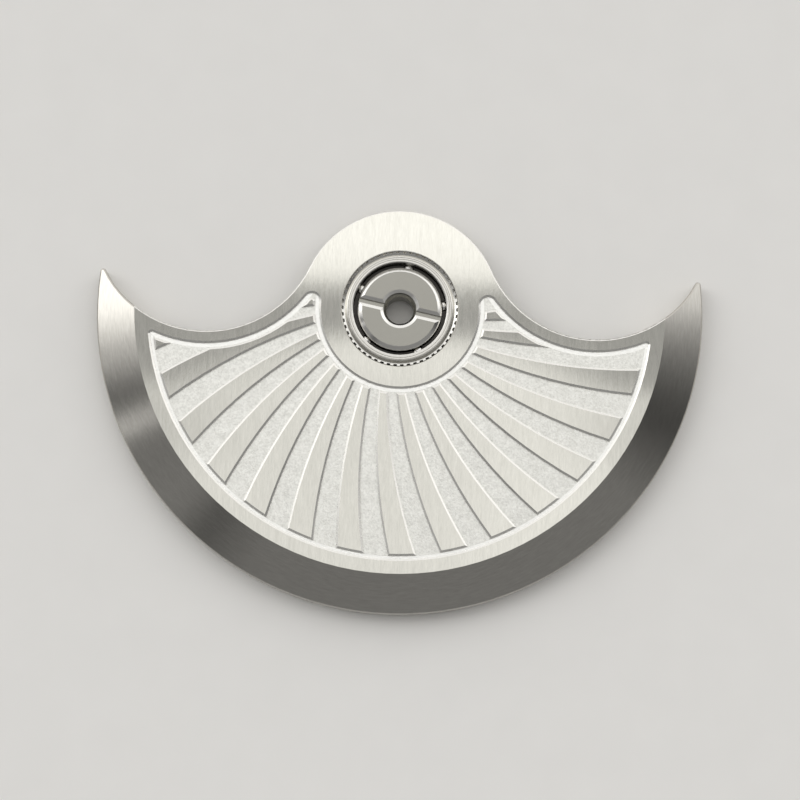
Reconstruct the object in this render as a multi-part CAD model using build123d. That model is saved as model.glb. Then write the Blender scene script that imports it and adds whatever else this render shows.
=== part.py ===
from build123d import *
from math import acos, cos, degrees, radians, sin, tan
import os

# Winding rotor of an automatic watch, on its own ball bearing.
# Millimetres. The Z axis is the rotor's axis and +Z points out of the decorated face.
# The origin is on that axis, in the plane of the face that seats on the movement.
# The weight hangs towards -Y.

# Outline of the rotor, seen from above
outer_radius = 13.20
hub_radius = 4.33
side_angle = 24.09
horn_angle = 8.37
horn_corner_radius = 0.13
edge_break = 0.07

# Plate
plate_underside = 0.95
plate_thickness = 0.55

# Heavy rim under and around the plate's outer band
bevel_width = 1.70
ledge_width = 1.20
rim_underside = -0.10
rim_wall_height = 0.86
rim_wall_break = 0.05
rim_foot_break = 0.08

# Pocket sunk into the plate's upper face
pocket_depth = 0.10
pocket_hub_wall = 0.83
pocket_rim_wall = 0.63
pocket_side_wall = 0.55
pocket_tip_radius = 0.33
pocket_corner_radius = 0.09
pocket_edge_break = 0.05
edge_break_angle = 58.0

# Fan of raised strips left standing in the pocket
strips_per_turn = 30
strip_width_angle = 6.40
strip_start_angle = -2.055
strip_arc_radius = 22.40
strip_arc_offset = 0.24
strip_gap_hub = 0.20
strip_gap_rim = 0.145
strip_gap_side = 0.205
strip_tip_radius = 0.14
strip_corner_radius = 0.04
strip_least_width = 0.20

# Ball bearing
ball_count = 5
ball_radius = 0.25
ball_pitch_radius = 1.93
ball_height = 0.80
ball_start_angle = 7.4
race_gap = 0.215
race_clearance = 0.02
contact_angle = 45.0
groove_floor_height = 0.14

# Outer race
race_underside = 0.15
race_wall = 0.058
race_proud_height = 0.01
race_break = 0.04
race_break_drop = 0.025
turned_line_width = 0.03
turned_line_insets = (0.06, 0.14)

# Drive gear pressed round the outer race and into the plate
gear_teeth = 54
gear_ring_width = 0.21
gear_tooth_depth = 0.07
gear_tip_share = 0.36
gear_root_share = 0.50
gear_sink = 0.05
gear_face_drop = 0.09
bore_relief_width = 0.02
bore_relief_depth = 0.42
bore_edge_break = 0.03

# Inner core and upper cone
arbor_radius = 0.60
tube_wall = 0.12
tube_break = 0.01
tube_mouth_break = 0.10
tube_sink = 0.35
seat_step = 0.37
seat_height = 0.22
cone_sink = 0.10
cone_bevel_width = 0.18
cone_bevel_drop = 0.10
cone_bore_break = 0.13
cone_bore_break_drop = 0.09
slot_width = 0.20
slot_depth = 0.24
slot_break = 0.14
slot_break_drop = 0.09
slot_angle = -12.0

# Ball cage
cage_thickness = 0.13
cage_below_balls = 0.40
cage_above_balls = 0.15
cage_pocket_clearance = 0.02

# Overrun of every cutting shape
overrun = 0.50

# Radii and heights that follow from the sizes above
horn_cosine = cos(radians(side_angle - horn_angle))
side_radius = (outer_radius**2 + hub_radius**2 - 2 * outer_radius * hub_radius * horn_cosine) / (
    2 * (outer_radius * horn_cosine - hub_radius)
)
side_distance = hub_radius + side_radius
seam_radius = outer_radius - bevel_width
rim_inner_radius = seam_radius - ledge_width
pocket_inner_radius = hub_radius - pocket_hub_wall
pocket_outer_radius = seam_radius - pocket_rim_wall
pocket_side_radius = side_radius + pocket_side_wall
groove_reach = (ball_radius + race_clearance) / cos(radians(contact_angle))
groove_depth = (groove_reach - groove_floor_height / 2) / tan(radians(contact_angle)) - race_gap / 2
inner_lip_radius = ball_pitch_radius - race_gap / 2
outer_lip_radius = ball_pitch_radius + race_gap / 2
inner_root_radius = inner_lip_radius - groove_depth
outer_root_radius = outer_lip_radius + groove_depth
race_outer_radius = outer_root_radius + race_wall
gear_tip_radius = race_outer_radius + gear_ring_width
tube_radius = arbor_radius + tube_wall
seat_radius = inner_lip_radius - seat_step
plate_top = plate_underside + plate_thickness
race_top = plate_top + race_proud_height
cone_top = plate_top - cone_sink
tube_top = cone_top - tube_sink
lip_half_height = groove_reach - race_gap / 2 * tan(radians(contact_angle))
root_half_height = groove_floor_height / 2


def polar(radius, angle):
    """Point at a radius and an angle in degrees about the rotor's axis."""
    return Vector(radius * cos(radians(angle)), radius * sin(radians(angle)))


def mirrored(point):
    """The same point on the left half."""
    return Vector(-point.X, point.Y)


def meeting_angle(axis_distance, side_centre_distance):
    """Polar angle of a point at given distances from the axis and from the right side's centre."""
    cosine = axis_distance**2 + side_distance**2 - side_centre_distance**2
    return side_angle - degrees(acos(cosine / (2 * axis_distance * side_distance)))


def arc_about(centre, start, end):
    """Arc from start to end about a centre, the short way round."""
    radius = (start - centre).length
    middle = ((start - centre) + (end - centre)).normalized() * radius
    return ThreePointArc(start, centre + middle, end)


def pointed_region(inner_radius, outer_limit, side_limit, inner_corner, outer_corner, round_hub):
    """Face between two concave sides, with rounded corners.

    With round_hub its upper end is the hub's own circle, and otherwise it is the lower half
    of an inner circle, met by two rounded tips.
    """
    side_centre = polar(side_distance, side_angle)
    corner = polar(
        outer_limit - outer_corner,
        meeting_angle(outer_limit - outer_corner, side_limit + outer_corner),
    )
    corner_outer = corner.normalized() * outer_limit
    corner_side = side_centre + (corner - side_centre).normalized() * side_limit
    if round_hub:
        inner_side = polar(inner_radius, side_angle)
    else:
        tip = polar(
            inner_radius + inner_corner,
            meeting_angle(inner_radius + inner_corner, side_limit + inner_corner),
        )
        tip_inner = tip.normalized() * inner_radius
        inner_side = side_centre + (tip - side_centre).normalized() * side_limit

    edges = []
    for place in (lambda point: point, mirrored):
        edges.append(arc_about(place(corner), place(corner_outer), place(corner_side)))
        edges.append(arc_about(place(side_centre), place(corner_side), place(inner_side)))
        if not round_hub:
            edges.append(arc_about(place(tip), place(inner_side), place(tip_inner)))
    bottom = Vector(0, -outer_limit)
    edges.append(ThreePointArc(mirrored(corner_outer), bottom, corner_outer))
    if round_hub:
        edges.append(ThreePointArc(inner_side, Vector(0, inner_radius), mirrored(inner_side)))
    else:
        edges.append(ThreePointArc(tip_inner, Vector(0, -inner_radius), mirrored(tip_inner)))
    return make_face(edges)


def prism(face, bottom, top):
    """Solid between two heights with the face as its section."""
    return Pos(0, 0, bottom) * extrude(face, amount=top - bottom)


def sloped(face, bottom, slope):
    """Solid from a height to the plate's upper face, with sides that lean in by the slope."""
    return Pos(0, 0, bottom) * extrude(face, amount=plate_top - bottom, taper=slope)


def turned(points):
    """Solid of revolution about the axis, from (radius, height) points."""
    return revolve(make_face(Plane.XZ * Polyline(*points, close=True)), axis=Axis.Z)


def rotor_outline():
    """The rotor's whole outline: hub circle, concave sides and outer circle."""
    return pointed_region(hub_radius, outer_radius, side_radius, 0, horn_corner_radius, True)


def pocket_outline():
    """Edge of the sunk pocket."""
    return pointed_region(
        pocket_inner_radius,
        pocket_outer_radius,
        pocket_side_radius,
        pocket_tip_radius,
        pocket_corner_radius,
        False,
    )


def strip_limit():
    """Edge that the strips keep to, inside the pocket."""
    return pointed_region(
        pocket_inner_radius + strip_gap_hub,
        pocket_outer_radius - strip_gap_rim,
        pocket_side_radius + strip_gap_side,
        strip_tip_radius,
        strip_corner_radius,
        False,
    )


def strip_edge_point(radius, centre_angle):
    """Point of one strip's edge at a radius. The edge is an arc that passes close to the axis."""
    centre_distance = strip_arc_radius - strip_arc_offset
    cosine = radius**2 + centre_distance**2 - strip_arc_radius**2
    return polar(radius, centre_angle - degrees(acos(cosine / (2 * radius * centre_distance))))


def strip(centre_angle):
    """One strip of the fan, longer than it shows at both ends."""
    start = pocket_inner_radius
    end = seam_radius
    radii = (start, (start + end) / 2, end)
    right, left = (
        [strip_edge_point(radius, centre_angle + turn) for radius in radii]
        for turn in (strip_width_angle, 0)
    )
    edges = [
        ThreePointArc(*left),
        Line(left[-1], right[-1]),
        ThreePointArc(*reversed(right)),
        Line(right[0], left[0]),
    ]
    return make_face(edges)


def fan():
    """All the strips, cut to their limit. A scrap too small to mill is left out."""
    pitch = 360 / strips_per_turn
    limit = strip_limit()
    kept = []
    for index in range(strips_per_turn):
        piece = strip(strip_start_angle + index * pitch) & limit
        if piece:
            kept.extend(face for face in piece.faces() if face.area > strip_least_width**2)
    return kept


def make_rotor_plate():
    section = rotor_outline() & Circle(seam_radius)
    plate = prism(section, plate_underside, plate_top)
    relief_radius = gear_tip_radius + bore_relief_width
    bore = (
        (0, plate_underside - overrun),
        (gear_tip_radius, plate_underside - overrun),
        (gear_tip_radius, plate_top - bore_relief_depth),
        (relief_radius, plate_top - bore_relief_depth),
        (relief_radius, plate_top - bore_edge_break),
        (relief_radius + bore_edge_break, plate_top),
        (relief_radius + bore_edge_break, plate_top + overrun),
        (0, plate_top + overrun),
    )
    plate -= turned(bore)

    floor = plate_top - pocket_depth
    shoulder = plate_top - pocket_edge_break
    outline = pocket_outline()
    plate -= prism(outline, floor, plate_top) + sloped(outline, shoulder, -edge_break_angle)
    plate += [
        prism(face, floor, shoulder) + sloped(face, shoulder, edge_break_angle) for face in fan()
    ]

    band = plate.faces().group_by(Axis.Z)[-1].sort_by(SortBy.AREA)[-1]
    outline_edges = [edge for edge in band.outer_wire().edges() if edge.radius < seam_radius]
    return fillet(outline_edges, edge_break)


def make_heavy_rim():
    bevel_foot = rim_underside + rim_wall_height
    section = (
        (rim_inner_radius, rim_underside),
        (outer_radius - rim_foot_break, rim_underside),
        (outer_radius, rim_underside + rim_foot_break),
        (outer_radius, bevel_foot),
        (outer_radius - rim_wall_break, bevel_foot + rim_wall_break),
        (seam_radius, plate_top),
        (seam_radius, plate_underside),
        (rim_inner_radius, plate_underside),
    )
    rim = turned(section) & prism(rotor_outline(), rim_underside - overrun, plate_top + overrun)
    bevel = rim.faces().filter_by(GeomType.CONE).sort_by(SortBy.AREA)[-1]
    end_edges = [edge for edge in bevel.edges() if edge.geom_type != GeomType.CIRCLE]
    return fillet(end_edges, edge_break)


def make_drive_gear():
    root_radius = gear_tip_radius - gear_tooth_depth
    pitch = 360 / gear_teeth
    gap_tip_angle = pitch * (1 - gear_tip_share)
    gap_root_angle = pitch * (1 - gear_root_share)
    reach = gear_tip_radius + gear_tooth_depth
    corners = [
        polar(root_radius, gap_root_angle / 2),
        polar(reach, gap_tip_angle / 2),
        polar(reach, -gap_tip_angle / 2),
        polar(root_radius, -gap_root_angle / 2),
    ]
    gap = prism(make_face(Polyline(*corners, close=True)), race_underside - overrun, plate_top)
    section = (
        (race_outer_radius, race_underside),
        (gear_tip_radius, race_underside),
        (gear_tip_radius, plate_top - gear_sink),
        (race_outer_radius, plate_top - gear_sink - gear_face_drop),
    )
    return turned(section) - [Rot(0, 0, index * pitch) * gap for index in range(gear_teeth)]


def make_outer_race():
    section = (
        (outer_lip_radius, race_underside + race_break),
        (outer_lip_radius + race_break, race_underside),
        (race_outer_radius, race_underside),
        (race_outer_radius, race_top - race_break_drop),
        (race_outer_radius - race_break, race_top),
        (outer_lip_radius + race_break, race_top),
        (outer_lip_radius, race_top - race_break_drop),
        (outer_lip_radius, ball_height + lip_half_height),
        (outer_root_radius, ball_height + root_half_height),
        (outer_root_radius, ball_height - root_half_height),
        (outer_lip_radius, ball_height - lip_half_height),
    )
    race = turned(section)
    half = turned_line_width / 2
    for inset in turned_line_insets:
        radius = race_outer_radius - inset
        race -= turned(((radius - half, race_top), (radius, race_top - half), (radius + half, race_top)))
    return race


def make_inner_core():
    section = (
        (arbor_radius, 0),
        (seat_radius, 0),
        (seat_radius, seat_height),
        (inner_lip_radius - race_break, seat_height),
        (inner_lip_radius, seat_height + race_break),
        (inner_lip_radius, ball_height - lip_half_height),
        (inner_root_radius, ball_height - root_half_height),
        (inner_root_radius, ball_height),
        (tube_radius, ball_height),
        (tube_radius, tube_top - tube_break),
        (tube_radius - tube_break, tube_top),
        (arbor_radius + tube_mouth_break, tube_top),
        (arbor_radius, tube_top - tube_mouth_break),
    )
    return turned(section)


def make_upper_cone():
    section = (
        (tube_radius, ball_height),
        (inner_root_radius, ball_height),
        (inner_root_radius, ball_height + root_half_height),
        (inner_lip_radius, ball_height + lip_half_height),
        (inner_lip_radius, cone_top - cone_bevel_drop),
        (inner_lip_radius - cone_bevel_width, cone_top),
        (tube_radius + cone_bore_break, cone_top),
        (tube_radius, cone_top - cone_bore_break_drop),
    )
    cone = turned(section)
    floor = cone_top - slot_depth
    half = slot_width / 2
    wide = half + slot_break
    slot_section = (
        (-half, floor),
        (half, floor),
        (half, cone_top - slot_break_drop),
        (wide, cone_top),
        (wide, cone_top + overrun),
        (-wide, cone_top + overrun),
        (-wide, cone_top),
        (-half, cone_top - slot_break_drop),
    )
    slot = extrude(
        make_face(Plane.YZ * Polyline(*slot_section, close=True)),
        amount=inner_lip_radius + overrun,
        both=True,
    )
    return cone - Rot(0, 0, slot_angle) * slot


def make_ball_cage():
    half = cage_thickness / 2
    ring = prism(
        Circle(ball_pitch_radius + half) - Circle(ball_pitch_radius - half),
        ball_height - cage_below_balls,
        ball_height + cage_above_balls,
    )
    drill = Cylinder(ball_radius + cage_pocket_clearance, ball_pitch_radius + overrun)
    for index in range(ball_count):
        centre = polar((ball_pitch_radius + overrun) / 2, ball_angle(index))
        turn = Rot(0, 0, ball_angle(index)) * Rot(0, 90, 0)
        ring -= Pos(centre.X, centre.Y, ball_height) * turn * drill
    return ring


def ball_angle(index):
    return ball_start_angle + index * 360 / ball_count


def make_ball(index):
    centre = polar(ball_pitch_radius, ball_angle(index))
    return Pos(centre.X, centre.Y, ball_height) * Sphere(ball_radius)


def main():
    pieces = {
        "rotor_plate": make_rotor_plate(),
        "heavy_rim": make_heavy_rim(),
        "drive_gear": make_drive_gear(),
        "outer_race": make_outer_race(),
        "inner_core": make_inner_core(),
        "upper_cone": make_upper_cone(),
        "ball_cage": make_ball_cage(),
    }
    for index in range(ball_count):
        pieces[f"ball_{index + 1}"] = make_ball(index)
    os.makedirs("parts", exist_ok=True)
    for name, piece in pieces.items():
        export_step(piece, f"parts/{name}.step")


main()
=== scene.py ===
from math import cos, pi, radians, sin

import bmesh
import bpy
from mathutils import Matrix, Vector


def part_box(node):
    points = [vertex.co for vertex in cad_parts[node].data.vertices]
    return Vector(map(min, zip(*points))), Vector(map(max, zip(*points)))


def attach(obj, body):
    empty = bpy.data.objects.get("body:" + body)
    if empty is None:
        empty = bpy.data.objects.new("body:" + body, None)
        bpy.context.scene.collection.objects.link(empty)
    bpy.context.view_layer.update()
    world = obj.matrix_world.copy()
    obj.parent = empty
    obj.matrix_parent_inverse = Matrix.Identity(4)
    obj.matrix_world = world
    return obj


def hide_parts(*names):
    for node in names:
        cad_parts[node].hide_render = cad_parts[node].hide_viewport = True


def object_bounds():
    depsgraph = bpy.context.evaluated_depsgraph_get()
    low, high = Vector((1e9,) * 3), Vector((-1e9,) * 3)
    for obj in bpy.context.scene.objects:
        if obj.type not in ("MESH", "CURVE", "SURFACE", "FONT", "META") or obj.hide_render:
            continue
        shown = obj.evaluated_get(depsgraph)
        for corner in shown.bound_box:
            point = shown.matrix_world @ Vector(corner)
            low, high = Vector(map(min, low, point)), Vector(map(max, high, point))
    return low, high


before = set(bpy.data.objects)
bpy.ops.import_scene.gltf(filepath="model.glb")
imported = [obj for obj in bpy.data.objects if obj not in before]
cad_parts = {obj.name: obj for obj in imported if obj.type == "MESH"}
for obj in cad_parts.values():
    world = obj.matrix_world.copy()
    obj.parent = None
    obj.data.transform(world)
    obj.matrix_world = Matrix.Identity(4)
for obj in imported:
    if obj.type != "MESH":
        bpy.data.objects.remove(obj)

cad_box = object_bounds()

# Winding rotor of an automatic watch, on its own ball bearing.
# Metres, in the CAD's frame: the Z axis is the rotor's axis, the weight hangs towards -Y,
# and the decorated face looks up.

MM = 0.001
UP = Vector((0.0, 0.0, 1.0))
AXIS = Vector((0.0, 0.0))
scene = bpy.context.scene

# Camera, almost straight above and leaning a little towards the weight

TARGET = Vector((0.10, -4.007, 1.50)) * MM
CAMERA_DISTANCE = 105.62 * MM
CAMERA_LEAN = radians(7.9)
CAMERA_ROLL = radians(1.34)
CAMERA_LENS = 110.3
CAMERA_SENSOR = 36.0
CAMERA_NEAR = 5.0 * MM
CAMERA_FAR = 10000.0 * MM

# Sizes of the part, which its exact normals and its finishes follow

OUTER_RADIUS = 13.20 * MM
HUB_RADIUS = 4.33 * MM
EDGE_BREAK = 0.07 * MM
PLATE_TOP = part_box("rotor_plate")[1].z  # of its highest corner

# Radius and height of the two edges of the rim's bevel
BEVEL_OUTSIDE = Vector((13.15, 0.81)) * MM
BEVEL_INSIDE = Vector((11.50, 1.50)) * MM

# Each concave side is an arc that touches the hub's circle and ends at the tip of a horn
SIDE_ANGLE = radians(24.09)
HORN_ANGLE = radians(8.37)
HORN_COSINE = cos(SIDE_ANGLE - HORN_ANGLE)
SIDE_RADIUS = (OUTER_RADIUS**2 + HUB_RADIUS**2 - 2 * OUTER_RADIUS * HUB_RADIUS * HORN_COSINE) / (
    2 * (OUTER_RADIUS * HORN_COSINE - HUB_RADIUS))
SIDE_REACH = (HUB_RADIUS + SIDE_RADIUS) * cos(SIDE_ANGLE)
SIDE_HEIGHT = (HUB_RADIUS + SIDE_RADIUS) * sin(SIDE_ANGLE)
SIDE_CENTRES = (Vector((SIDE_REACH, SIDE_HEIGHT)), Vector((-SIDE_REACH, SIDE_HEIGHT)))

# Walls of the pocket, and the path that the last cut left along each of them, smoother and painted
# brighter: painted light along the walls
SIDE_BAND_WIDTH = 0.55 * MM
POCKET_OUTER_RADIUS = 10.87 * MM
POCKET_INNER_RADIUS = 3.50 * MM
POCKET_SIDE_RADIUS = SIDE_RADIUS + SIDE_BAND_WIDTH
PATH_RIM_WIDTH = 0.12 * MM
PATH_HUB_WIDTH = 0.16 * MM
PATH_SIDE_WIDTH = 0.18 * MM

# Lines that turning and grinding leave
RIM_LINE_WIDTH = 0.06 * MM
RIM_LINE_DEPTH = 0.0016 * MM
BEARING_LINE_WIDTH = 0.03 * MM
RACE_LINE_DEPTH = 0.0004 * MM
DISC_LINE_DEPTH = 0.0003 * MM

# Limits for merging a mesh, for its sharp edges, and for taking a real surface's normals
WELD_DISTANCE = 0.0001 * MM
ON_SURFACE = 0.002 * MM
SAME_HEIGHT = 0.005 * MM
BREAK_REACH = 1.5 * EDGE_BREAK
SHARP_EDGE = radians(26.0)
SAME_SURFACE = radians(3.0)
SHAPE_CHANGE = radians(80.0)
SAME_CONE = radians(45.0)
SAME_BREAK = radians(20.0)

# Upward share of a face's normal, which tells what the face is part of
LEVEL_SHARE = 0.9999
FLAT_SHARE = 0.999
LEAST_BREAK_SHARE = 0.02
DISC_BEVEL_SHARES = (0.5, 0.95)
UNDERSIDE_SHARE = -0.9
# Outward share of the level part of a normal, on the rim's outer faces
OUTWARD_SHARE = 0.9

# Light, by the unit vector of the direction that it comes from. A stop is a place and a level.
# Places of AROUND_LIGHT are azimuths in degrees, for directions between low and overhead.
# The other places are shares of the vector along Y, and an edge's two ends are shares too.

LIGHT_STRENGTH = 2.5
AROUND_LIGHT = (
    (0, 0.18), (1, 0.20), (5, 0.31), (9, 0.50), (12, 0.72), (14, 1.12), (17, 1.45), (27, 1.40),
    (45, 1.15), (130, 1.15), (146, 1.40), (152, 2.30), (168, 2.50), (172, 1.66), (175, 0.93),
    (179, 0.80), (183, 0.29), (186, 0.10), (189, 0.11), (190.5, 0.60), (192, 1.55), (193.5, 0.75),
    (195, 0.25), (210, 0.30), (214, 0.28), (220.5, 0.12), (235, 0.26), (333, 0.27), (341, 0.17),
    (350, 0.06), (357, 0.11), (360, 0.18),
)
LOW_LIGHT = ((-0.3, 0.52), (0.12, 0.52), (0.36, 1.45), (0.62, 1.45), (0.88, 1.15))
ROOM_LIGHT = ((-0.25, 0.40), (0.07, 1.0), (0.12, 0.99), (0.145, 1.01), (0.162, 1.24))
FAR_ROOM_LIGHT = (
    (-0.25, 0.40), (0.07, 1.02), (0.105, 1.0), (0.118, 0.76), (0.131, 0.74), (0.144, 0.96),
    (0.162, 1.20),
)
DAYLIGHT = ((0.18, 1.30), (0.2013, 1.40))
WHOLE_TURN = (0.0, 2 * pi)
WHOLE_SPAN = (-1.0, 1.0)
OVERHEAD_SPAN = (-0.3, 0.3)

LOW_EDGE = (0.42, 0.50)  # along Z
OVERHEAD_EDGE = (0.82, 0.93)  # along Z
FAR_EDGE = (0.0050, 0.0068)  # along X, squared
RIGHT_EDGE = (0.015, 0.045)  # along X
RIGHT_GAIN = 1.11
GAP_LIGHT = 0.44
GAP_START = (0.161, 0.168)  # along Y, with the gap's bend added
GAP_END = (0.180, 0.188)  # along Y
GAP_BEND = 3.2  # times the share along X, squared
GAP_MOST_BEND = 0.0235


def make_camera():
    """Camera above the target, leant and rolled about it."""
    data = bpy.data.cameras.new("camera")
    data.lens = CAMERA_LENS
    data.sensor_width = CAMERA_SENSOR
    data.clip_start = CAMERA_NEAR
    data.clip_end = CAMERA_FAR
    camera = bpy.data.objects.new("camera", data)
    scene.collection.objects.link(camera)
    turn = Matrix.Rotation(CAMERA_LEAN, 4, "X") @ Matrix.Rotation(CAMERA_ROLL, 4, "Z")
    back = turn @ (UP * CAMERA_DISTANCE)
    camera.matrix_world = Matrix.Translation(TARGET + back) @ turn
    scene.camera = camera


# Colours and nodes


def linear(text):
    """Linear colour of an sRGB hex value, by the standard's own curve."""
    values = []
    for start in (1, 3, 5):
        share = int(text[start:start + 2], 16) / 255
        if share <= 0.04045:
            values.append(share / 12.92)
        else:
            values.append(((share + 0.055) / 1.055) ** 2.4)
    return (*values, 1.0)


def grey(level):
    """Grey in linear light."""
    return (level, level, level, 1.0)


def add(tree, kind, inputs=None, **settings):
    """Adds a node. An input is a number, a colour, or another node's socket to link from."""
    node = tree.nodes.new(kind)
    for name, value in settings.items():
        setattr(node, name, value)
    for name, value in (inputs or {}).items():
        socket = node.inputs[name]
        if isinstance(value, bpy.types.NodeSocket):
            tree.links.new(value, socket)
        else:
            socket.default_value = value
    return node


def new_material(name):
    """Empty material, its node tree, and the place on the piece for its patterns."""
    material = bpy.data.materials.new(name)
    material.use_nodes = True
    tree = material.node_tree
    tree.nodes.clear()
    return material, tree, add(tree, "ShaderNodeTexCoord").outputs["Object"]


def finish_metal(tree, inputs):
    """Ends a material in one metal shader."""
    shader = add(tree, "ShaderNodeBsdfPrincipled", {"Metallic": 1.0, **inputs})
    add(tree, "ShaderNodeOutputMaterial", {"Surface": shader.outputs["BSDF"]})


# Finishes


def make_brushed_plate():
    """Rhodium plating over straight brushing, drawn along the rotor's own Y axis.

    The eye gets short, fine parallel lines, and light that spreads across them and stays sharp
    along them. Real lines are about 0.02 mm apart and are drawn at 0.05 mm to show.
    """
    line_spacing, line_length = 0.05 * MM, 0.30 * MM
    patch_spacing, patch_length = 0.14 * MM, 0.90 * MM
    pattern_height = 1.0 * MM
    line_depth = 0.0002 * MM
    lowest, highest = 0.6, 1.4  # of the two patterns' sum, from dark to light
    smoothest, roughest = 0.055, 0.08
    material, tree, place = new_material("brushed rhodium plating")
    heights = []
    for spacing, length in ((line_spacing, line_length), (patch_spacing, patch_length)):
        stretched = add(
            tree, "ShaderNodeMapping",
            {"Vector": place, "Scale": (1 / spacing, 1 / length, 1 / pattern_height)},
        )
        heights.append(add(
            tree, "ShaderNodeTexNoise",
            {"Vector": stretched.outputs["Vector"], "Scale": 1.0, "Detail": 2.0, "Roughness": 0.6},
        ).outputs["Fac"])
    lines, patches = heights
    height = add(tree, "ShaderNodeMath", {0: lines, 1: patches}, operation="ADD").outputs["Value"]
    contrast = add(
        tree, "ShaderNodeMapRange", {"Value": height, "From Min": lowest, "From Max": highest},
    )
    tint = add(
        tree, "ShaderNodeMix",
        {"Factor": contrast.outputs["Result"], "A": linear("#D2D0C7"), "B": linear("#E0DED5")},
        data_type="RGBA",
    )
    rough = add(
        tree, "ShaderNodeMapRange", {"Value": patches, "To Min": smoothest, "To Max": roughest},
    )
    bump = add(tree, "ShaderNodeBump", {"Height": height, "Strength": 1.0, "Distance": line_depth})
    across = add(
        tree, "ShaderNodeVectorTransform", {"Vector": (1.0, 0.0, 0.0)},
        vector_type="VECTOR", convert_from="OBJECT", convert_to="WORLD",
    )
    finish_metal(tree, {
        "Base Color": tint.outputs["Result"],
        "Roughness": rough.outputs["Result"],
        "Anisotropic": 0.8,
        "Tangent": across.outputs["Vector"],
        "Normal": bump.outputs["Normal"],
    })
    return material


def make_frosted_floor():
    """The pocket's floor, bead blasted before plating: an even, fine-grained white.

    Its pits are about 0.03 mm wide and are drawn at 0.09 mm to show. Along its walls runs the
    smoother path of the last cut round the outline, which is also painted brighter: painted light
    that lifts the shade the walls cast on the floor next to them.
    """
    pit_size = 0.09 * MM
    pit_depth = 0.012 * MM
    cloud_size = 0.35 * MM
    cloud_share = 0.35
    lowest, highest = 0.40, 0.85  # of the pits' and clouds' sum, from dark to light
    floor_roughness, path_roughness = 0.52, 0.42
    material, tree, place = new_material("bead blasted rhodium plating")
    pits = add(
        tree, "ShaderNodeTexNoise",
        {"Vector": place, "Scale": 1 / pit_size, "Detail": 3.0, "Roughness": 0.7},
    ).outputs["Fac"]
    clouds = add(
        tree, "ShaderNodeTexNoise", {"Vector": place, "Scale": 1 / cloud_size, "Detail": 2.0},
    ).outputs["Fac"]
    grain = add(
        tree, "ShaderNodeMath", {0: clouds, 1: cloud_share, 2: pits}, operation="MULTIPLY_ADD",
    ).outputs["Value"]
    contrast = add(
        tree, "ShaderNodeMapRange", {"Value": grain, "From Min": lowest, "From Max": highest},
    )
    path = cutter_path_and_painted_light(tree, place)
    blasted = add(
        tree, "ShaderNodeMix",
        {"Factor": contrast.outputs["Result"], "A": linear("#D7D6CF"), "B": linear("#F8F7F1")},
        data_type="RGBA",
    )
    # Painted light: the path along the walls is painted a brighter white, which lifts the shade that
    # the walls cast on the floor; its lower roughness is the real smoother finish of the last cut.
    tint = add(
        tree, "ShaderNodeMix",
        {"Factor": path, "A": blasted.outputs["Result"], "B": linear("#FBFAF5")},
        data_type="RGBA",
    )
    rough = add(
        tree, "ShaderNodeMapRange",
        {"Value": path, "To Min": floor_roughness, "To Max": path_roughness},
    )
    bump = add(tree, "ShaderNodeBump", {"Height": pits, "Strength": 1.0, "Distance": pit_depth})
    finish_metal(tree, {
        "Base Color": tint.outputs["Result"],
        "Roughness": rough.outputs["Result"],
        "Normal": bump.outputs["Normal"],
    })
    return material


def cutter_path_and_painted_light(tree, place):
    """1 on the path that runs along the pocket's walls and 0 on the rest of its floor. The floor is
    smoother on the path and is painted brighter there as painted light.
    """
    flat = add(tree, "ShaderNodeVectorMath", {0: place, 1: (1.0, 1.0, 0.0)}, operation="MULTIPLY")
    whole = 0.0
    for centre, edge, comparison in (
        (AXIS, POCKET_OUTER_RADIUS - PATH_RIM_WIDTH, "GREATER_THAN"),
        (AXIS, POCKET_INNER_RADIUS + PATH_HUB_WIDTH, "LESS_THAN"),
        *((centre, POCKET_SIDE_RADIUS + PATH_SIDE_WIDTH, "LESS_THAN") for centre in SIDE_CENTRES),
    ):
        away = add(
            tree, "ShaderNodeVectorMath", {0: flat.outputs["Vector"], 1: centre.to_3d()},
            operation="DISTANCE",
        )
        part = add(
            tree, "ShaderNodeMath", {0: away.outputs["Value"], 1: edge}, operation=comparison,
        )
        whole = add(
            tree, "ShaderNodeMath", {0: part.outputs["Value"], 1: whole}, operation="MAXIMUM",
        ).outputs["Value"]
    return whole


def make_polished(name, colour, roughness):
    """Even metal with faint, fine wear: a mirror or a soft shine, by its roughness."""
    wear_size = 0.3 * MM
    wear_depth = 0.0012 * MM
    smoothest_share, roughest_share = 0.7, 1.3
    material, tree, place = new_material(name)
    wear = add(
        tree, "ShaderNodeTexNoise", {"Vector": place, "Scale": 1 / wear_size, "Detail": 3.0},
    ).outputs["Fac"]
    rough = add(
        tree, "ShaderNodeMapRange",
        {"Value": wear, "To Min": roughness * smoothest_share, "To Max": roughness * roughest_share},
    )
    bump = add(tree, "ShaderNodeBump", {"Height": wear, "Strength": 1.0, "Distance": wear_depth})
    finish_metal(tree, {
        "Base Color": linear(colour),
        "Roughness": rough.outputs["Result"],
        "Normal": bump.outputs["Normal"],
    })
    return material


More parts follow.
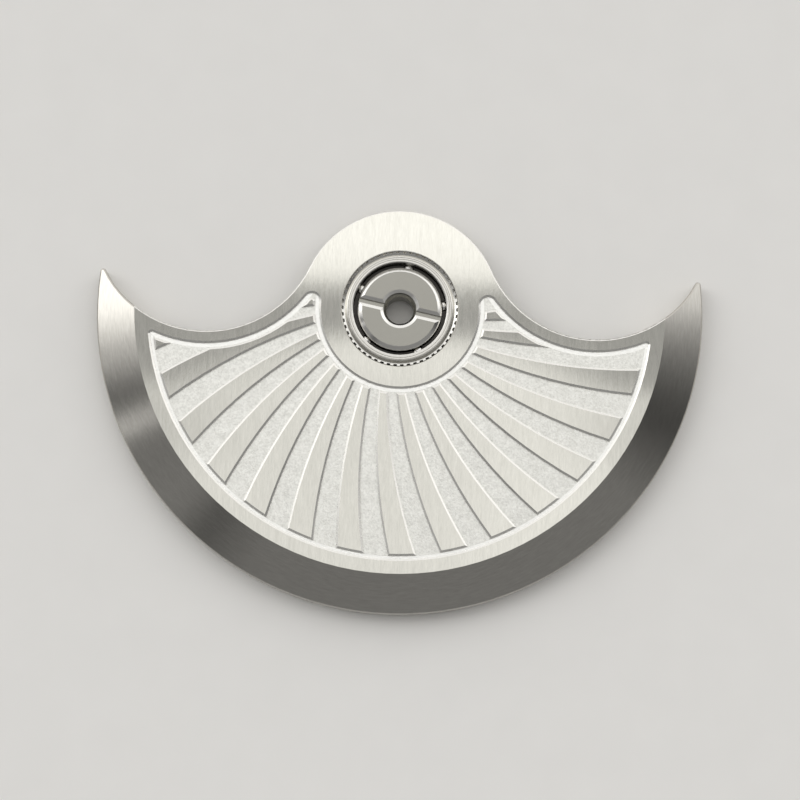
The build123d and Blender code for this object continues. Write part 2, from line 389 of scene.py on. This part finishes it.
def make_turned(name, low, high, roughness, anisotropy, line_width, line_depth):
    """Metal finished on a lathe: fine rings about the axis, and light that fans out across them."""
    streaks_per_radian = 24.0
    quarter_turn_share = 0.25
    material, tree, place = new_material(name)
    flat = add(tree, "ShaderNodeVectorMath", {0: place, 1: (1.0, 1.0, 0.0)}, operation="MULTIPLY")
    radius = add(tree, "ShaderNodeVectorMath", {0: flat.outputs["Vector"]}, operation="LENGTH")
    parts = add(tree, "ShaderNodeSeparateXYZ", {"Vector": place})
    down = add(tree, "ShaderNodeMath", {0: parts.outputs["Y"], 1: -1.0}, operation="MULTIPLY")
    angle = add(
        tree, "ShaderNodeMath", {0: parts.outputs["X"], 1: down.outputs["Value"]},
        operation="ARCTAN2",
    )
    rings = add(
        tree, "ShaderNodeCombineXYZ",
        {"X": radius.outputs["Value"], "Y": angle.outputs["Value"], "Z": parts.outputs["Z"]},
    )
    streaks = add(
        tree, "ShaderNodeMapping",
        {
            "Vector": rings.outputs["Vector"],
            "Scale": (1 / line_width, streaks_per_radian, 1 / line_width),
        },
    )
    lines = add(
        tree, "ShaderNodeTexNoise",
        {"Vector": streaks.outputs["Vector"], "Scale": 1.0, "Detail": 3.0, "Roughness": 0.6},
    ).outputs["Fac"]
    tint = add(
        tree, "ShaderNodeMix", {"Factor": lines, "A": linear(low), "B": linear(high)},
        data_type="RGBA",
    )
    bump = add(tree, "ShaderNodeBump", {"Height": lines, "Strength": 1.0, "Distance": line_depth})
    around = add(tree, "ShaderNodeTangent", direction_type="RADIAL", axis="Z")
    finish_metal(tree, {
        "Base Color": tint.outputs["Result"],
        "Roughness": roughness,
        "Anisotropic": anisotropy,
        "Anisotropic Rotation": quarter_turn_share,
        "Tangent": around.outputs["Tangent"],
        "Normal": bump.outputs["Normal"],
    })
    return material


# Shapes


def welded_copy(node_name):
    """The CAD node's mesh, with the doubles of its loose triangles merged."""
    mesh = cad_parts[node_name].data.copy()
    mesh.materials.clear()
    shape = bmesh.new()
    shape.from_mesh(mesh)
    bmesh.ops.remove_doubles(shape, verts=shape.verts, dist=WELD_DISTANCE)
    bmesh.ops.join_triangles(
        shape, faces=shape.faces,
        angle_face_threshold=SAME_SURFACE, angle_shape_threshold=SHAPE_CHANGE,
    )
    for face in shape.faces:
        face.smooth = True
    for edge in shape.edges:
        edge.smooth = edge.calc_face_angle(pi) < SHARP_EDGE
    shape.to_mesh(mesh)
    shape.free()
    return mesh


def level_direction(point, centre):
    """Level unit vector from a centre to a point."""
    return (point.xy - centre).normalized().to_3d()


def sloped_normal(point, centre, slope):
    """Normal at a point, from its outward and upward parts about a centre."""
    return level_direction(point, centre) * slope.x + UP * slope.y


def level_normal(point):
    """Normal of a level face that looks up."""
    return UP


def bevel_normal(point):
    """Normal of the rim's bevel."""
    along = BEVEL_INSIDE - BEVEL_OUTSIDE
    return sloped_normal(point, AXIS, Vector((along.y, -along.x)).normalized())


def broken_edge_normal(point, centre, wall_radius, side, over):
    """Normal of a rounded edge between an upright wall about a centre and a face above it.

    side is 1 where the wall faces away from its centre and -1 where it faces its centre.
    """
    level = level_direction(point, centre) * side
    inset = ((point.xy - centre).length - wall_radius) * side
    share = min(max(1.0 + inset / EDGE_BREAK, 0.0), 1.0)
    upward = (over - level * over.dot(level)).normalized()
    return level * share + upward * (1.0 - share * share) ** 0.5


def near_wall(points, centre, wall_radius):
    """Whether all points are close enough to a wall to be on its rounded edge."""
    return all(abs((point.xy - centre).length - wall_radius) < BREAK_REACH for point in points)


def rounded_normals(points, own, edges):
    """Normals of a face on one of the rounded edges, or None."""
    if own.z < LEAST_BREAK_SHARE:
        return None
    for centre, wall_radius, side, face_above in edges:
        if near_wall(points, centre, wall_radius):
            found = [
                broken_edge_normal(point, centre, wall_radius, side, face_above(point))
                for point in points
            ]
            if sum(found, Vector()).normalized().dot(own) > cos(SAME_BREAK):
                return found
    return None


def turned_slope(points, centre, own):
    """Outward and upward parts of the normal of a cone or cylinder about a centre, or None.

    The points' distances and heights have to lie on one line.
    """
    profile = [Vector(((point.xy - centre).length, point.z)) for point in points]
    along = max((b - a for a in profile for b in profile), key=lambda step: step.length)
    if along.length < ON_SURFACE:
        return None
    slope = Vector((along.y, -along.x)).normalized()
    if max(abs((point - profile[0]).dot(slope)) for point in profile) > ON_SURFACE:
        return None
    middle = sum(points, Vector()) / len(points)
    agrees = sloped_normal(middle, centre, slope).dot(own)
    if abs(agrees) < cos(SAME_CONE):
        return None
    return slope if agrees > 0 else -slope


def turned_normals(points, own):
    """Normals of a face on a cone or cylinder about the axis or a side's centre, or None."""
    for centre in (AXIS, *SIDE_CENTRES):
        slope = turned_slope(points, centre, own)
        if slope:
            return [sloped_normal(point, centre, slope) for point in points]
    return None


def set_true_normals(mesh, edges):
    """Gives each face's corners the exact normal of the real surface it stands for.

    edges lists the rounded edges as (centre, wall radius, side, normal of the face above).
    """
    normals = [corner.vector.copy() for corner in mesh.corner_normals]
    for face in mesh.polygons:
        points = [mesh.vertices[index].co for index in face.vertices]
        own = face.normal
        if abs(own.z) > LEVEL_SHARE:
            found = [UP if own.z > 0 else -UP] * len(points)
        else:
            found = rounded_normals(points, own, edges) or turned_normals(points, own)
        for corner, normal in zip(face.loop_indices, found or ()):
            normals[corner] = normal
    mesh.normals_split_custom_set(normals)


def first_finish(face):
    """Every face takes the first material."""
    return 0


def plate_finish(face):
    """The plate is brushed above and below, its pocket's floor is frosted, its edges polished."""
    if face.normal.z > FLAT_SHARE:
        return 0 if face.center.z > PLATE_TOP - SAME_HEIGHT else 1
    return 0 if face.normal.z < -FLAT_SHARE else 2


def rim_finish(face):
    """The rim's outer faces are turned, and the rest is ground."""
    outward = face.normal.xy.normalized().dot(face.center.xy.normalized())
    return 0 if face.normal.z > UNDERSIDE_SHARE and outward > OUTWARD_SHARE else 1


def disc_finish(face):
    """The disc is ground, and its bevels are polished."""
    least, most = DISC_BEVEL_SHARES
    return 1 if least < face.normal.z < most else 0


def dress(name, node_name, body, materials, choose=first_finish, edges=()):
    """Replaces a CAD node by a welded copy, whose faces take the material that choose gives them."""
    mesh = welded_copy(node_name)
    for material in materials:
        mesh.materials.append(material)
    for face in mesh.polygons:
        face.material_index = choose(face)
    set_true_normals(mesh, edges)
    piece = bpy.data.objects.new(name, mesh)
    scene.collection.objects.link(piece)
    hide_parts(node_name)
    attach(piece, body)


# Floor and light


def make_floor():
    """Pale paper under the part, with a faint cloud in its tone."""
    cloud_size = 2.0 * MM
    half_width = 1500.0 * MM
    material, tree, place = new_material("pale studio paper")
    clouds = add(
        tree, "ShaderNodeTexNoise", {"Vector": place, "Scale": 1 / cloud_size, "Detail": 2.0},
    )
    tint = add(
        tree, "ShaderNodeMix",
        {"Factor": clouds.outputs["Fac"], "A": linear("#EAE8E4"), "B": linear("#EEECE8")},
        data_type="RGBA",
    )
    shader = add(
        tree, "ShaderNodeBsdfPrincipled", {"Base Color": tint.outputs["Result"], "Roughness": 0.9},
    )
    add(tree, "ShaderNodeOutputMaterial", {"Surface": shader.outputs["BSDF"]})
    shape = bmesh.new()
    bmesh.ops.create_grid(shape, x_segments=1, y_segments=1, size=half_width)
    bmesh.ops.translate(shape, verts=shape.verts, vec=(0.0, 0.0, cad_box[0].z))
    mesh = bpy.data.meshes.new("floor")
    shape.to_mesh(mesh)
    shape.free()
    mesh.materials.append(material)
    floor = bpy.data.objects.new("floor", mesh)
    scene.collection.objects.link(floor)


def light_ramp(tree, value, span, stops):
    """Light that follows a value over a span, through stops of a place and a level."""
    low, high = span
    share = add(tree, "ShaderNodeMapRange", {"Value": value, "From Min": low, "From Max": high})
    ramp = add(tree, "ShaderNodeValToRGB", {"Fac": share.outputs["Result"]})
    elements = ramp.color_ramp.elements
    elements.remove(elements[-1])
    for number, (place, level) in enumerate(stops):
        position = (place - low) / (high - low)
        element = elements.new(position) if number else elements[0]
        element.position = position
        element.color = grey(level / LIGHT_STRENGTH)
    return ramp.outputs["Color"]


def soft_change(tree, value, edge, before, after):
    """Light that goes softly from one to another as a value passes an edge."""
    low, high = edge
    share = add(
        tree, "ShaderNodeMapRange", {"Value": value, "From Min": low, "From Max": high},
        interpolation_type="SMOOTHSTEP",
    )
    mixed = add(
        tree, "ShaderNodeMix", {"Factor": share.outputs["Result"], "A": before, "B": after},
        data_type="RGBA",
    )
    return mixed.outputs["Result"]


def make_light():
    """Soft daylight from behind the hub, a dim room in front, and a soft panel right above.

    Between the room and the daylight is a darker gap, which bends towards the room at its ends.
    The room is dimmer at its far sides and a little brighter on the right.
    """
    world = bpy.data.worlds.new("studio")
    world.use_nodes = True
    tree = world.node_tree
    tree.nodes.clear()
    toward = add(tree, "ShaderNodeTexCoord").outputs["Generated"]
    parts = add(tree, "ShaderNodeSeparateXYZ", {"Vector": toward})
    x, y, z = (parts.outputs[name] for name in "XYZ")
    angle = add(tree, "ShaderNodeMath", {0: y, 1: x}, operation="ARCTAN2").outputs["Value"]
    azimuth = add(tree, "ShaderNodeMath", {0: angle, 1: 2 * pi, 2: 0.0}, operation="WRAP")
    around_stops = [(radians(place), level) for place, level in AROUND_LIGHT]
    around = light_ramp(tree, azimuth.outputs["Value"], WHOLE_TURN, around_stops)
    low = light_ramp(tree, y, WHOLE_SPAN, LOW_LIGHT)
    sides = soft_change(tree, z, LOW_EDGE, low, around)

    squared = add(tree, "ShaderNodeMath", {0: x, 1: x}, operation="MULTIPLY").outputs["Value"]
    near = light_ramp(tree, y, OVERHEAD_SPAN, ROOM_LIGHT)
    far = light_ramp(tree, y, OVERHEAD_SPAN, FAR_ROOM_LIGHT)
    even_room = soft_change(tree, squared, FAR_EDGE, near, far)
    gain = soft_change(tree, x, RIGHT_EDGE, grey(1.0), grey(RIGHT_GAIN))
    room = add(tree, "ShaderNodeVectorMath", {0: even_room, 1: gain}, operation="MULTIPLY")

    full_bend = add(tree, "ShaderNodeMath", {0: squared, 1: GAP_BEND}, operation="MULTIPLY")
    bend = add(
        tree, "ShaderNodeMath", {0: full_bend.outputs["Value"], 1: GAP_MOST_BEND},
        operation="MINIMUM",
    )
    bent = add(tree, "ShaderNodeMath", {0: bend.outputs["Value"], 1: y}, operation="ADD")
    gap_light = grey(GAP_LIGHT / LIGHT_STRENGTH)
    front = soft_change(
        tree, bent.outputs["Value"], GAP_START, room.outputs["Vector"], gap_light)
    daylight = light_ramp(tree, y, OVERHEAD_SPAN, DAYLIGHT)
    overhead = soft_change(tree, y, GAP_END, front, daylight)

    colour = soft_change(tree, z, OVERHEAD_EDGE, sides, overhead)
    background = add(
        tree, "ShaderNodeBackground", {"Color": colour, "Strength": LIGHT_STRENGTH},
    )
    add(tree, "ShaderNodeOutputWorld", {"Surface": background.outputs["Background"]})
    scene.world = world


make_camera()

# Plate: brushed face, frosted pocket, and polished edges that show as thin bright lines
brushed_rhodium = make_brushed_plate()
frosted_rhodium = make_frosted_floor()
polished_rhodium = make_polished("polished rhodium edge", "#E2E0DA", roughness=0.28)
plate_edges = [(AXIS, HUB_RADIUS, 1, level_normal)]
plate_edges += [(centre, SIDE_RADIUS, -1, level_normal) for centre in SIDE_CENTRES]
dress(
    "plate", "rotor_plate", "rotor",
    [brushed_rhodium, frosted_rhodium, polished_rhodium], plate_finish, plate_edges,
)

# Weight: a warm grey bevel off the lathe, with fans of light across its rings. Real rings are
# about 0.02 mm wide and are drawn at 0.06 mm to show. Its ends and underside shine softly.
turned_tungsten = make_turned(
    "fine turned tungsten alloy", "#ADAAA3", "#C9C6BF", roughness=0.16, anisotropy=0.85,
    line_width=RIM_LINE_WIDTH, line_depth=RIM_LINE_DEPTH,
)
ground_tungsten = make_polished("ground tungsten alloy", "#B9B5AD", roughness=0.3)
end_edges = [(centre, SIDE_RADIUS, -1, bevel_normal) for centre in SIDE_CENTRES]
dress(
    "weight", "heavy_rim", "rotor", [turned_tungsten, ground_tungsten], rim_finish, end_edges,
)

# Gear: cleanly cut teeth, small bright flanks between dark gaps
hobbed_steel = make_polished("hobbed steel", "#DEDCD6", roughness=0.20)
dress("gear_ring", "drive_gear", "rotor", [hobbed_steel])

# Collar of the bearing: lapped round and round, so its light lies in soft rings. Real lines on
# it and on the disc are finer than 0.01 mm and are drawn at 0.03 mm to show.
lapped_steel = make_turned(
    "lapped bearing steel", "#D2CFC8", "#DCDAD4", roughness=0.22, anisotropy=0.9,
    line_width=BEARING_LINE_WIDTH, line_depth=RACE_LINE_DEPTH,
)
dress("bearing_collar", "outer_race", "rotor", [lapped_steel])

# Slotted disc and core: an even mid grey, with crisp bright lines where the disc is bevelled
ground_steel = make_turned(
    "fine ground steel", "#9A9890", "#A2A098", roughness=0.24, anisotropy=0.3,
    line_width=BEARING_LINE_WIDTH, line_depth=DISC_LINE_DEPTH,
)
polished_steel = make_polished("polished steel bevel", "#E4E2DD", roughness=0.16)
dress("slotted_disc", "upper_cone", "hub", [ground_steel, polished_steel], disc_finish)
dress("bearing_core", "inner_core", "hub", [ground_steel])

# Cage: dark and almost matt, so the balls stand out in it as small sharp glints
blackened_steel = make_polished("blackened steel", "#454340", roughness=0.4)
ball_steel = make_polished("polished ball steel", "#E2E0DC", roughness=0.06)
dress("cage", "ball_cage", "cage", [blackened_steel])
for number, word in enumerate(("one", "two", "three", "four", "five"), start=1):
    dress(f"bearing_ball_{word}", f"ball_{number}", f"ball_{word}", [ball_steel])

make_floor()
make_light()
scene.view_settings.view_transform = "Standard"
